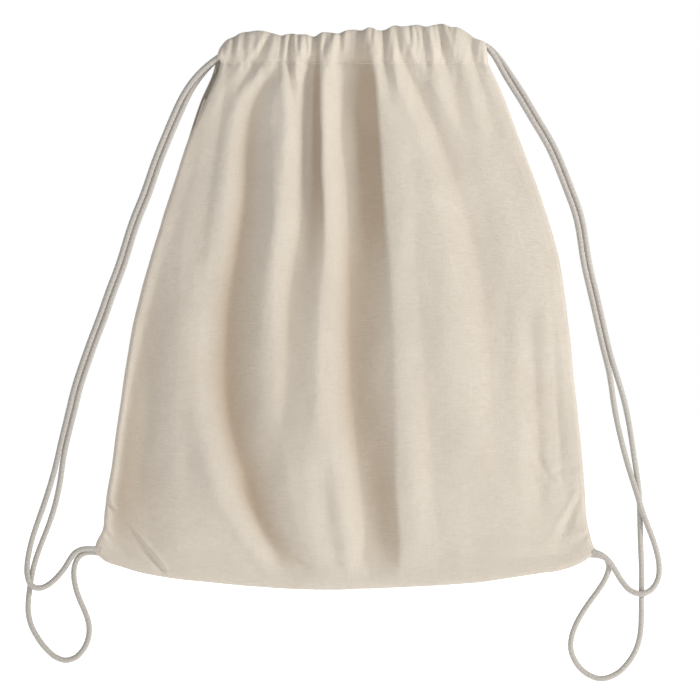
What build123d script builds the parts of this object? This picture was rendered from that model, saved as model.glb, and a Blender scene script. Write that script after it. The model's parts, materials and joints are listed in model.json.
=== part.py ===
from build123d import *
import os

# Drawstring backpack, in millimetres. +Z is up, the front of the bag faces -Y and +X is to
# the right when the front is looked at.
# Origin: the middle of the bottom edge, between the two panels.

front, back = -1, 1          # sign of y
left, right = -1, 1          # sign of x

# Cloth panels
cloth_t = 0.5                # thickness of the woven cotton
rim_y = 1.25                 # middle plane to a panel's inner face along the side seams
front_belly = 20.0           # how far the front panel stands forward
back_belly = 13.0            # how far the back panel stands behind
trim_depth = 60.0            # reach of the trimming solid each way along Y

# Mouth and tunnel hems
stitch_z = 398.0             # top edge of the panels, where the casings begin
casing_h = 22.0              # height of a tunnel hem
casing_d = 6.4               # depth of a tunnel hem, room for two cords
casing_lift = 0.4            # gap between the panels' top edge and a casing
casing_half_w = 98.0         # half the drawn-in width of the mouth
lip_y = 3.8                  # middle plane to the middle of each tunnel, at its ends
mouth_bow = 5.0              # how far each lip bows away from the middle plane
thread_d = 0.6               # sewing thread
thread_drop = 2.5            # stitch row below stitch_z
thread_outset = 1.15         # stitch row outward of the lip line

# Seam allowances and bar tacks
seam_w = 7.0                 # width of a seam allowance
seam_t = 1.6                 # its thickness
seam_inset = 1.0             # its outer edge from the bag's outline
seam_z_range = (45, 380)     # outline points used by the side seams
seam_half_length = 180       # the same for the bottom seam, along X
tack_size = (3.9, 4.5, 5.4)
tack_round = 0.9
left_corner = (-194.5, 29.5)     # middle of each tack, x and z
right_corner = (188.5, 28.5)

# Drawcords
cord_d = 4.0                 # diameter of the round cord
cord_gap = 0.6               # free space between two strands lying side by side
cord_r = cord_d / 2
strand_shift = (cord_d + cord_gap) / 2   # middle of a pair to each strand's middle
cross_y = 2.4                # half the depth between two strands where they cross
mouth_y = 3.4                # depth of a strand where it leaves its casing
section_pitch = 14           # spacing of the sections in a lofted strand
left_level = 404.8           # height of the left cord in the casings
right_level = 411.2          # height of the right cord in the casings
left_mouth = (-103.0, left_level)        # where a pair leaves the casings, x and z
right_mouth = (103.5, right_level)

# Outline of the bag as (x, z): both sides run upward, the bottom from left to right
left_edge = [
    (-191.5, 29.0), (-187.0, 46.0), (-183.5, 74.0), (-179.0, 101.0), (-174.5, 137.0),
    (-168.5, 173.0), (-163.0, 210.0), (-155.5, 246.0), (-146.0, 282.0), (-134.5, 318.0),
    (-121.5, 346.0), (-108.5, 373.0), (-103.5, 387.0), (-100.5, stitch_z)]
right_edge = [
    (185.5, 28.0), (181.5, 46.0), (179.0, 74.0), (175.0, 101.0), (171.0, 137.0),
    (167.5, 173.0), (164.0, 210.0), (158.5, 246.0), (149.5, 282.0), (138.5, 318.0),
    (126.0, 346.0), (111.0, 373.0), (105.0, 387.0), (100.5, stitch_z)]
bottom_edge = [
    left_edge[0], (-174.0, 18.2), (-144.0, 10.6), (-113.5, 6.8), (-68.0, 3.0),
    (-22.7, 0.8), (38.0, 1.6), (83.0, 5.0), (113.5, 8.6), (144.0, 13.2), (174.0, 20.0),
    right_edge[0]]

# Centre lines of the drawcords as (x, z), from the casings downward. A pair is two strands
# side by side; below it the front and the back strand each have a line of their own.
left_pair = [
    (-112.8, 391.4), (-124.9, 373.2), (-133.2, 355.0), (-140.8, 336.9), (-148.0, 318.7),
    (-153.7, 300.5), (-161.6, 282.4), (-170.3, 255.1), (-180.2, 227.9), (-189.6, 200.6),
    (-199.8, 173.4), (-208.6, 146.1), (-215.0, 118.8), (-219.2, 100.7)]
left_front_low = [
    (-226.0, 82.5), (-231.6, 64.3), (-238.5, 46.2), (-243.0, 28.0), (-244.5, 17.4),
    (-244.1, 11.4)]
left_back_low = [
    (-219.9, 82.5), (-223.7, 64.3), (-229.4, 46.2), (-236.2, 28.8), (-241.1, 12.1)]
left_tail = [
    (-242.2, 4.5), (-239.2, 2.3), (-233.2, 2.3), (-226.3, 6.1), (-221.0, 10.6),
    (-214.2, 18.9), (-208.6, 26.9), (-204.4, 29.9), (-200.2, 30.3)]
left_loop = [
    (-242.2, 4.5), (-243.4, -8.3), (-243.4, -17.4), (-241.5, -26.5), (-236.9, -35.6),
    (-230.1, -44.7), (-223.3, -51.1), (-215.7, -53.7), (-207.4, -51.1), (-201.0, -44.7),
    (-197.6, -35.6), (-197.6, -26.5), (-200.6, -17.4), (-204.8, -8.3), (-207.8, 0.8),
    (-208.9, 9.8), (-207.8, 18.9), (-205.1, 24.2), (-200.0, 27.3)]
right_pair = [
    (118.1, 391.4), (130.2, 373.2), (140.8, 355.0), (151.8, 336.9), (159.7, 318.7),
    (166.5, 300.5), (172.6, 282.4), (177.5, 255.1), (183.6, 227.9), (189.6, 200.6),
    (196.1, 173.4)]
right_front_low = [
    (198.3, 155.2), (204.0, 118.8), (209.7, 91.6), (214.2, 82.5), (219.5, 71.9),
    (223.3, 59.8), (227.1, 46.2), (231.3, 28.0), (233.0, 15.1)]
right_back_low = [
    (203.6, 155.2), (212.0, 118.8), (216.1, 91.6), (218.0, 82.5), (219.3, 64.3),
    (219.5, 46.2), (220.3, 28.0), (220.7, 17.4)]
right_tail = [
    (233.0, 9.1), (229.4, 3.4), (224.1, -0.4), (218.0, -0.8), (212.0, 1.9), (205.9, 8.7),
    (200.6, 16.7), (196.1, 22.0), (192.7, 25.4)]
right_loop = [
    (220.9, 11.4), (220.9, -8.3), (220.3, -26.5), (219.5, -35.6), (216.5, -44.7),
    (211.6, -53.7), (201.0, -63.6), (189.2, -67.4), (177.9, -62.8), (169.6, -53.7),
    (166.9, -44.7), (167.7, -35.6), (170.7, -26.5), (175.6, -17.4), (181.7, -8.3),
    (188.9, 0.8), (194.5, 9.8), (196.1, 16.7), (193.0, 22.3)]


def at_depth(line, y=0):
    """Turn (x, z) points into 3D points at one depth."""
    return [(x, y, z) for x, z in line]


def band(outer, inner):
    """The face between two curves that run the same way."""
    return Face(Wire([outer, Line(outer @ 1, inner @ 1), inner, Line(inner @ 0, outer @ 0)]))


def extrude_both_ways(face, depth):
    return extrude(face, amount=depth, dir=(0, 1, 0), both=True)


def level_arc(side, z, half_w, side_y, mid_y):
    """An arc across the bag in a level plane, bowed away from the middle plane."""
    return ThreePointArc((-half_w, side * side_y, z), (0, side * mid_y, z),
                         (half_w, side * side_y, z))


def sweep_round(path, radius):
    return sweep(Plane(origin=path @ 0, z_dir=path % 0) * Circle(radius), path=path)


# --- Cloth ---

def outline_solid():
    """The bag's outline, extruded right through along Y."""
    left_side = Spline(*at_depth(left_edge))
    right_side = Spline(*at_depth(right_edge))
    bottom = Spline(*at_depth(bottom_edge))
    top = Line(left_side @ 1, right_side @ 1)
    face = Face(Wire([left_side, top, right_side, bottom]))
    return extrude_both_ways(face, trim_depth)


def panel(side, belly):
    """One cloth panel: bowed sections lofted up the height, trimmed to the outline."""
    edge_y = rim_y + cloth_t
    stations = [             # z, half width, outer y at the sides, outer y in the middle
        (-3.0, 205, edge_y, rim_y + 1.4),
        (60.0, 196, edge_y, belly * 0.72),
        (140.0, 184, edge_y, belly),
        (250.0, 164, edge_y, belly),
        (340.0, 131, rim_y + 1.3, belly * 0.7),
        (402.0, 101, lip_y + cloth_t / 2, lip_y + mouth_bow + 0.4)]
    sections = [band(level_arc(side, z, half_w, side_y, mid_y),
                     level_arc(side, z, half_w, side_y - cloth_t, mid_y - cloth_t))
                for z, half_w, side_y, mid_y in stations]
    return loft(sections) & outline_solid()


def lip_path(side, z, outset=0.0):
    y = lip_y + outset
    return level_arc(side, z, casing_half_w, y, y + mouth_bow)


def casing(side):
    """The tunnel hem: a flat tube of cloth along one lip of the mouth, open at both ends."""
    path = lip_path(side, stitch_z + casing_lift + casing_h / 2)
    plane = Plane(origin=path @ 0, z_dir=path % 0, x_dir=(0, 0, 1))
    ring = (SlotOverall(casing_h, casing_d)
            - SlotOverall(casing_h - 2 * cloth_t, casing_d - 2 * cloth_t))
    return sweep(plane * ring, path=path)


def stitch_row(side):
    """The thread along a panel just below its casing."""
    return sweep_round(lip_path(side, stitch_z - thread_drop, thread_outset), thread_d / 2)


def seam_strip(line, inward_x, inward_z):
    """A seam allowance: a strip in the middle plane that follows one edge of the bag."""
    def offset(distance):
        return Spline(*[(x + inward_x * distance, 0, z + inward_z * distance)
                        for x, z in line])
    return extrude_both_ways(band(offset(seam_inset), offset(seam_inset + seam_w)), seam_t / 2)


def side_seam(edge, inward_x):
    low, high = seam_z_range
    return seam_strip([(x, z) for x, z in edge if low < z < high], inward_x, 0)


def bottom_seam():
    return seam_strip([(x, z) for x, z in bottom_edge if abs(x) < seam_half_length], 0, 1)


def tack(corner):
    """The bar tack at a bottom corner."""
    block = Box(*tack_size)
    block = fillet(block.edges(), tack_round)
    x, z = corner
    return Pos(x, 0, z) * block


# --- Drawcords ---

def cord(points):
    """A length of round cord swept along a smooth line."""
    return sweep_round(Spline(*points), cord_r)


def lofted_cord(points):
    """A long cord, lofted through circles that all take their x direction from +Y."""
    path = Spline(*points)
    count = int(path.length / section_pitch)
    circles = [Plane(origin=path @ (i / count), z_dir=path % (i / count), x_dir=(0, 1, 0))
               * Circle(cord_r) for i in range(count + 1)]
    return loft(circles)


def casing_run(exit_side, level):
    """The part of a cord inside the casings: in along the front lip, round the far end as a
    bight, and back along the rear lip. Both strands come out at exit_side."""
    def lip_depth(x):
        return lip_y + mouth_bow * (1 - (x / casing_half_w) ** 2)
    stations = [97.0, 75.0, 50.0, 25.0, 0.0, -25.0, -50.0, -75.0, -87.0, -93.0]
    bight = [(-97.0, -3.9), (-99.7, -2.7), (-100.8, 0.0), (-99.7, 2.7), (-97.0, 3.9)]
    plan = ([(x, -lip_depth(x)) for x in stations] + bight
            + [(x, lip_depth(x)) for x in reversed(stations)])
    return cord([(exit_side * x, y, level) for x, y in plan])


def strand(side, mouth, pair_line, low_line):
    """The front or back strand of a pair, from the casing's mouth down the side of the bag.
    Its depth eases to the middle plane along the pair and out again below it."""
    mouth_x, mouth_z = mouth
    points = [(mouth_x, side * mouth_y, mouth_z)]
    last = len(pair_line) - 1
    for i, (x, z) in enumerate(pair_line):
        before_x, before_z = pair_line[max(i - 1, 0)]
        after_x, after_z = pair_line[min(i + 1, last)]
        run_x, run_z = after_x - before_x, after_z - before_z
        length = (run_x ** 2 + run_z ** 2) ** 0.5
        shift = -side * strand_shift * min(1.0, (i + 1) / 2)
        depth = side * mouth_y * max(0.0, 1 - (i + 1) / 2.5)
        points.append((x + shift * run_z / length, depth, z - shift * run_x / length))
    for i, (x, z) in enumerate(low_line):
        points.append((x, side * cross_y * min(1.0, (i + 1) / 3), z))
    return lofted_cord(points)


# On the right the two strands cross low down, so the upper inner one leads to the outer tail.
nodes = {
    "front_panel": panel(front, front_belly),
    "back_panel": panel(back, back_belly),
    "front_casing": casing(front),
    "back_casing": casing(back),
    "front_casing_stitch": stitch_row(front),
    "back_casing_stitch": stitch_row(back),
    "left_side_seam": side_seam(left_edge, 1),
    "right_side_seam": side_seam(right_edge, -1),
    "bottom_seam": bottom_seam(),
    "left_corner_tack": tack(left_corner),
    "right_corner_tack": tack(right_corner),
    "left_cord_casing_run": casing_run(left, left_level),
    "right_cord_casing_run": casing_run(right, right_level),
    "left_cord_outer_strand": strand(front, left_mouth, left_pair, left_front_low),
    "left_cord_inner_strand": strand(back, left_mouth, left_pair, left_back_low),
    "left_cord_outer_tail": cord(at_depth(left_tail, front * cross_y)),
    "left_cord_hanging_loop": cord(at_depth(left_loop, back * cross_y)),
    "right_cord_inner_strand": strand(front, right_mouth, right_pair, right_front_low),
    "right_cord_outer_strand": strand(back, right_mouth, right_pair, right_back_low),
    "right_cord_outer_tail": cord(at_depth(right_tail, front * cross_y)),
    "right_cord_hanging_loop": cord(at_depth(right_loop, back * cross_y)),
}

os.makedirs("parts", exist_ok=True)
for name, shape in nodes.items():
    export_step(shape, "parts/" + name + ".step")
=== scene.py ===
"""A cotton drawstring bag with its two cords, standing upright.

X runs from the bag's left (-) to its right (+), Z up, and the front panel faces -Y. The two
panels meet in the middle plane, y = 0. Shapes are in millimetres until a mesh is made; lights
and camera are in metres.
"""
import bmesh
import bpy
import json
import math
import numpy as np
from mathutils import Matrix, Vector


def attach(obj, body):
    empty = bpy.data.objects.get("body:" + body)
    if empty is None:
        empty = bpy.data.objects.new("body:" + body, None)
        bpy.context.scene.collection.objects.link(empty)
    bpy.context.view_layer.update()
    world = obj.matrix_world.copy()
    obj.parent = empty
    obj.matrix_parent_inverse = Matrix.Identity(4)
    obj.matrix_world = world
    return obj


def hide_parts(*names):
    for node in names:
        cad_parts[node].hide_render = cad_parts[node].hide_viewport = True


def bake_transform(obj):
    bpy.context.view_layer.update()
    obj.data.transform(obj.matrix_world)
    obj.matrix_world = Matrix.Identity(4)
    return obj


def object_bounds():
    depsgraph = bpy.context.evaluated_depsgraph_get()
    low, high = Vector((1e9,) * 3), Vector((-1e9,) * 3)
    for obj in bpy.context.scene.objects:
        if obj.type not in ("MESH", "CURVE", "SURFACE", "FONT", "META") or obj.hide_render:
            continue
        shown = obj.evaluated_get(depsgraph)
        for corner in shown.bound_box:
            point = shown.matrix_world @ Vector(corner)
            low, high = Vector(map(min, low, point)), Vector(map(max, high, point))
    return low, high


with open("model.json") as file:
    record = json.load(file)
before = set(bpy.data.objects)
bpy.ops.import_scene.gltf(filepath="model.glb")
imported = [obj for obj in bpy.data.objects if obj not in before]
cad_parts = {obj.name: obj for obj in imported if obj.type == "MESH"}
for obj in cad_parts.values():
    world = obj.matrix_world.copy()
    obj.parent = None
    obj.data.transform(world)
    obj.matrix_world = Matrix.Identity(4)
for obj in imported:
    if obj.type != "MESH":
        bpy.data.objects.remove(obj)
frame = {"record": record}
cad_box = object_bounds()

# ---------------------------------------------------------------- outline of the bag
# (height, x) up each side
LEFT_EDGE = [(29.5, -193.8), (37.1, -191.5), (46.2, -187.0), (55.3, -186.0), (64.3, -184.9),
    (73.4, -183.8), (82.5, -182.2), (91.6, -180.5), (100.7, -179.2), (109.8, -178.1),
    (118.8, -176.9), (127.9, -175.6), (137.0, -174.1), (146.1, -172.8), (155.2, -171.6),
    (164.3, -170.3), (173.4, -168.8), (182.4, -167.3), (191.5, -165.8), (200.6, -164.1),
    (209.7, -162.0), (218.8, -159.7), (227.9, -157.5), (236.9, -155.0), (246.0, -152.3),
    (255.1, -149.7), (264.2, -146.9), (273.3, -144.0), (282.4, -141.4), (291.4, -138.5),
    (300.5, -135.5), (309.6, -132.5), (318.7, -129.6), (327.8, -126.8), (336.9, -123.8),
    (345.9, -120.9), (355.0, -118.1), (364.1, -115.1), (373.2, -111.7), (382.3, -107.5),
    (391.4, -103.7), (400.5, -101.6)]
RIGHT_EDGE = [(29.5, 186.2), (37.1, 183.2), (46.2, 180.9), (55.3, 179.0), (64.3, 178.1),
    (73.4, 177.7), (82.5, 177.1), (91.6, 176.4), (100.7, 175.6), (109.8, 174.9), (118.8, 173.9),
    (127.9, 172.8), (137.0, 171.8), (146.1, 170.9), (155.2, 169.8), (164.3, 168.8), (173.4, 168.1),
    (182.4, 167.3), (191.5, 166.4), (200.6, 165.2), (209.7, 164.1), (218.8, 162.9), (227.9, 161.8),
    (236.9, 160.5), (246.0, 159.0), (255.1, 157.1), (264.2, 154.6), (273.3, 152.0), (282.4, 149.1),
    (291.4, 146.1), (300.5, 143.1), (309.6, 139.9), (318.7, 136.4), (327.8, 133.0), (336.9, 129.6),
    (345.9, 126.2), (355.0, 122.8), (364.1, 119.4), (373.2, 115.8), (382.3, 111.8), (391.4, 107.5),
    (400.5, 103.0)]
# (x, height) along the top and the bottom
TOP_LINE = [(-99.9, 407.3), (-93.9, 414.8), (-87.8, 417.9), (-81.8, 420.9), (-75.7, 421.6),
    (-69.6, 422.4), (-63.6, 421.6), (-57.5, 420.1), (-51.5, 418.6), (-45.4, 420.1), (-39.4, 419.4),
    (-33.3, 419.4), (-27.3, 417.9), (-21.2, 420.9), (-15.1, 420.9), (-9.1, 420.1), (-3.0, 422.4),
    (3.0, 423.2), (9.1, 422.4), (15.1, 424.7), (21.2, 422.4), (27.3, 423.2), (33.3, 426.2),
    (39.4, 425.4), (45.4, 426.2), (51.5, 426.9), (57.5, 425.4), (63.6, 426.9), (69.6, 427.7),
    (75.7, 425.4), (81.8, 424.7), (87.8, 421.6), (93.9, 417.1), (99.9, 414.8), (106.0, 411.8)]
BOTTOM_LINE = [(-193.8, 29.5), (-186.2, 22.7), (-174.1, 18.2), (-159.0, 13.6), (-143.8, 10.6),
    (-128.7, 8.3), (-113.5, 6.8), (-98.4, 5.3), (-83.3, 3.8), (-68.1, 2.6), (-53.0, 1.5),
    (-37.9, 0.8), (-22.7, 0.4), (-7.6, 0.4), (7.6, 1.1), (22.7, 1.5), (37.9, 2.3), (53.0, 3.0),
    (68.1, 3.8), (83.3, 4.9), (98.4, 6.1), (113.5, 8.3), (128.7, 10.6), (143.8, 12.9),
    (159.0, 15.1), (174.1, 20.4), (187.0, 28.8)]

# ---------------------------------------------------------------- folds and creases
# folds that run up the cloth: (height, x, width to the left, width to the right, depth)
FRONT_FOLDS = {
    "fold_a": [(3.8, -39.4, 7.6, 16.7, 2.2), (22.7, -49.2, 9.1, 19.7, 5.4),
        (46.9, -64.3, 10.6, 22.0, 7.4), (68.1, -74.2, 11.4, 27.3, 8.4),
        (90.8, -80.2, 12.1, 30.3, 8.0), (113.5, -87.1, 12.9, 31.8, 7.8),
        (143.8, -92.4, 13.6, 32.6, 8.2), (181.7, -93.1, 13.6, 32.6, 8.0),
        (219.5, -90.8, 12.9, 30.3, 7.6), (257.4, -84.8, 11.4, 25.0, 7.2),
        (295.2, -79.5, 9.8, 20.4, 6.8), (340.6, -77.2, 8.3, 16.7, 6.0),
        (358.8, -74.9, 7.6, 14.4, 5.4), (374.7, -69.6, 6.8, 12.1, 4.2),
        (390.6, -59.0, 5.3, 9.1, 2.4), (401.2, -52.2, 4.5, 6.1, 0.6)],
    "fold_b": [(83.3, -57.5, 10.6, 19.7, 0.0), (113.5, -53.0, 10.6, 19.7, 1.8),
        (143.8, -48.4, 10.6, 21.2, 3.6), (181.7, -46.9, 10.6, 21.2, 4.6),
        (219.5, -45.4, 9.8, 21.2, 5.4), (257.4, -40.1, 9.8, 19.7, 6.2),
        (295.2, -34.1, 9.8, 13.6, 7.4), (317.9, -31.8, 9.8, 9.8, 8.4),
        (340.6, -31.0, 9.1, 9.1, 9.2), (363.4, -30.3, 8.3, 7.6, 9.0),
        (386.1, -29.5, 7.6, 6.8, 7.8), (408.8, -26.5, 5.3, 3.8, 4.8),
        (423.9, -25.7, 3.8, 3.0, 2.6)],
    "fold_c": [(3.8, 15.9, 7.6, 19.7, 2.2), (22.7, 14.4, 8.3, 22.0, 5.4),
        (41.6, 12.9, 9.1, 23.5, 7.0), (68.1, 9.8, 9.8, 24.2, 8.0), (106.0, 5.3, 11.4, 27.3, 8.4),
        (143.8, 1.5, 12.1, 30.3, 8.6), (181.7, 0.0, 12.1, 31.0, 8.6), (219.5, 0.0, 11.4, 29.5, 8.8),
        (257.4, -0.8, 10.6, 28.0, 9.0), (295.2, -1.5, 9.8, 25.7, 9.6),
        (340.6, -3.0, 9.1, 24.2, 10.0), (363.4, -3.8, 8.3, 23.5, 9.6),
        (386.1, -4.5, 7.6, 22.7, 8.0), (408.8, -3.0, 6.1, 17.4, 4.8), (425.4, 0.0, 4.5, 12.9, 2.2)],
    "pleat_1": [(354.3, -40.9, 3.8, 6.1, 0.3), (370.9, -43.1, 3.8, 5.3, 1.4),
        (386.1, -45.4, 3.0, 4.5, 2.6), (405.0, -45.4, 2.3, 3.4, 3.4),
        (420.9, -44.7, 1.9, 2.6, 2.2)],
    "pleat_2": [(83.3, -124.1, 9.1, 15.1, 0.8), (143.8, -121.1, 9.8, 15.1, 1.4),
        (219.5, -115.1, 9.1, 13.6, 1.4), (287.7, -107.5, 7.6, 11.4, 1.2),
        (333.1, -100.7, 6.1, 9.1, 1.2), (370.9, -95.4, 4.5, 7.6, 1.2),
        (401.2, -92.4, 3.8, 6.1, 0.6)],
    "pleat_3": [(364.9, -89.3, 6.1, 9.1, 0.5), (380.8, -83.3, 5.3, 7.6, 1.4),
        (393.6, -75.7, 4.5, 6.8, 2.0), (407.3, -66.6, 3.0, 5.3, 2.2),
        (420.9, -59.8, 2.3, 3.8, 1.6)],
    "pleat_4": [(386.1, -11.4, 3.8, 5.3, 0.0), (397.4, -9.8, 3.0, 4.5, 1.4),
        (408.8, -8.3, 2.3, 3.8, 2.4), (423.9, -6.8, 2.3, 3.0, 2.0)],
    "pleat_5": [(364.9, 31.8, 5.3, 6.8, 0.2), (381.5, 28.8, 4.5, 6.1, 1.6),
        (395.2, 26.5, 4.5, 6.1, 3.0), (410.3, 25.7, 3.8, 5.3, 3.4), (426.9, 25.0, 3.0, 4.5, 2.4)],
    "pleat_6": [(106.0, 109.0, 10.6, 18.2, 0.8), (159.0, 106.0, 11.4, 19.7, 1.4),
        (219.5, 101.4, 11.4, 19.7, 1.8), (264.9, 92.4, 10.6, 18.9, 2.0),
        (310.4, 80.2, 9.8, 16.7, 2.2), (340.6, 68.1, 8.3, 15.1, 2.6),
        (367.1, 56.0, 6.8, 12.9, 3.2), (389.9, 45.4, 5.3, 9.8, 3.4),
        (407.3, 37.9, 3.8, 6.8, 2.4), (426.9, 33.3, 2.3, 3.8, 1.8)],
    "pleat_7": [(374.7, 60.6, 6.1, 7.6, 0.3), (393.6, 57.5, 5.3, 6.8, 1.2),
        (412.6, 56.0, 3.8, 5.3, 2.0), (426.9, 53.0, 2.3, 3.0, 2.0)],
    "pleat_8": [(272.5, 106.0, 7.6, 12.1, 0.0), (317.9, 95.4, 7.6, 12.1, 0.9),
        (355.8, 83.3, 6.8, 10.6, 1.4), (392.1, 74.9, 5.3, 8.3, 2.2),
        (408.8, 69.6, 3.8, 6.8, 2.8), (426.9, 65.9, 2.3, 4.5, 2.2)],
    "pleat_9": [(355.8, 106.7, 5.3, 9.1, 0.5), (382.3, 99.2, 4.5, 8.3, 1.2),
        (405.0, 92.4, 3.8, 6.8, 1.6), (422.4, 87.8, 3.0, 6.1, 1.2)],
    "pleat_10": [(392.1, -22.0, 3.8, 4.5, 0.0), (402.7, -20.4, 3.0, 3.8, 1.0),
        (413.3, -17.4, 2.3, 3.0, 1.6), (425.4, -13.6, 2.3, 3.0, 1.6)],
    "nip_1": [(390.6, -92.4, 3.0, 3.0, 0.0), (401.2, -90.1, 2.3, 2.3, 1.0),
        (410.3, -87.8, 2.3, 2.3, 2.0), (419.4, -86.3, 2.3, 1.9, 2.0)],
    "nip_2": [(401.2, -72.7, 2.3, 2.3, 0.0), (411.8, -71.9, 1.9, 2.3, 0.9),
        (423.9, -71.2, 1.9, 1.9, 1.0)],
    "nip_3": [(401.2, -50.7, 2.3, 2.3, 0.0), (410.3, -50.7, 1.9, 1.9, 0.7),
        (420.9, -50.7, 1.9, 1.9, 1.0)],
    "nip_4": [(401.2, -32.6, 2.3, 2.3, 0.0), (411.8, -33.3, 1.9, 1.9, 1.0),
        (420.9, -34.1, 1.9, 1.9, 1.2)],
    "nip_5": [(405.8, -28.0, 1.9, 1.9, 0.0), (413.3, -28.8, 1.5, 1.5, 0.8),
        (420.9, -29.5, 1.5, 1.5, 1.1)],
    "nip_6": [(404.2, -21.2, 1.9, 1.9, 0.0), (411.8, -19.7, 1.5, 1.9, 0.8),
        (420.9, -18.2, 1.5, 1.9, 1.1)],
    "nip_7": [(402.7, 6.8, 2.3, 2.3, 0.0), (413.3, 6.1, 1.9, 1.9, 0.9),
        (423.9, 5.3, 1.9, 1.9, 1.2)],
    "nip_8": [(407.3, 15.1, 2.3, 2.3, 0.0), (416.4, 15.9, 1.9, 1.9, 0.9),
        (425.4, 16.7, 1.9, 1.9, 1.4)],
    "nip_9": [(408.8, 46.2, 1.9, 1.9, 0.0), (417.9, 45.4, 1.5, 1.9, 0.9),
        (426.9, 44.7, 1.5, 1.9, 1.2)],
    "nip_10": [(411.8, 51.5, 1.9, 1.9, 0.0), (419.4, 50.0, 1.5, 1.5, 0.7),
        (426.9, 48.4, 1.5, 1.5, 0.9)],
    "nip_11": [(408.8, 63.6, 1.9, 1.9, 0.0), (417.9, 62.8, 1.5, 1.9, 0.9),
        (426.9, 62.1, 1.5, 1.9, 1.2)],
    "nip_12": [(411.8, 78.0, 1.9, 1.9, 0.0), (419.4, 75.7, 1.9, 1.9, 0.6),
        (426.9, 73.4, 1.5, 1.5, 0.8)],
    "nip_13": [(404.2, -81.0, 2.3, 2.3, 0.0), (413.3, -80.2, 1.9, 1.9, 0.7),
        (421.6, -79.5, 1.9, 1.9, 0.9)],
    "nip_14": [(404.2, -38.6, 1.9, 1.9, 0.0), (411.8, -38.6, 1.5, 1.5, 0.6),
        (419.4, -38.6, 1.5, 1.5, 0.8)],
    "side_fold": [(18.9, -166.5, 9.1, 31.8, 1.2), (37.9, -171.1, 13.6, 36.3, 4.4),
        (68.1, -172.6, 18.2, 37.9, 6.4), (106.0, -170.3, 18.2, 34.8, 6.4),
        (143.8, -166.5, 16.7, 31.8, 5.8), (181.7, -159.7, 14.4, 27.3, 4.8),
        (219.5, -151.4, 10.6, 21.2, 3.4), (264.9, -143.8, 7.6, 16.7, 1.6),
        (295.2, -139.3, 6.1, 13.6, 0.0)],
    "wrinkle_1": [(37.9, 145.3, 6.8, 10.6, 0.0), (68.1, 143.8, 6.8, 12.1, 1.0),
        (128.7, 141.6, 8.3, 12.1, 1.7), (189.2, 137.8, 6.8, 10.6, 1.4),
        (219.5, 133.2, 6.1, 10.6, 0.0)],
    "wrinkle_3": [(53.0, 163.5, 5.3, 7.6, 0.2), (98.4, 159.7, 5.3, 9.1, 1.4),
        (159.0, 155.9, 5.3, 9.1, 1.4), (219.5, 151.4, 4.5, 7.6, 0.2)],
    "wrinkle_8": [(25.7, 156.7, 4.5, 6.1, 0.0), (37.9, 159.7, 4.5, 6.1, 0.8),
        (50.0, 164.3, 3.8, 5.3, 1.5), (62.1, 170.3, 3.0, 4.5, 1.9), (74.2, 174.9, 2.3, 3.8, 1.7),
        (81.8, 177.1, 2.3, 3.0, 0.0)],
    "wrinkle_9": [(78.7, 152.9, 3.0, 4.5, 0.0), (87.8, 148.4, 3.0, 4.5, 0.7),
        (96.9, 143.8, 3.0, 4.5, 0.8), (104.5, 140.8, 2.3, 3.8, 0.0)],
    "wrinkle_10": [(78.7, 168.1, 3.8, 6.1, 0.3), (106.0, 170.3, 3.8, 6.1, 1.0),
        (128.7, 168.1, 3.8, 6.1, 1.0), (159.0, 163.5, 3.0, 4.5, 0.0)],
    "wrinkle_6": [(15.1, -10.6, 6.8, 9.1, 0.2), (53.0, -15.1, 7.6, 10.6, 1.0),
        (121.1, -18.2, 8.3, 11.4, 1.2), (181.7, -19.7, 7.6, 10.6, 1.0),
        (249.8, -21.2, 6.8, 9.1, 0.8), (295.2, -24.2, 6.1, 7.6, 0.0)],
    "wrinkle_7": [(37.9, 66.6, 8.3, 13.6, 0.8), (106.0, 60.6, 9.1, 15.1, 1.6),
        (181.7, 54.5, 9.1, 15.1, 1.4), (249.8, 50.0, 8.3, 13.6, 1.2),
        (310.4, 48.4, 6.8, 12.1, 0.2)],
}
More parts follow.
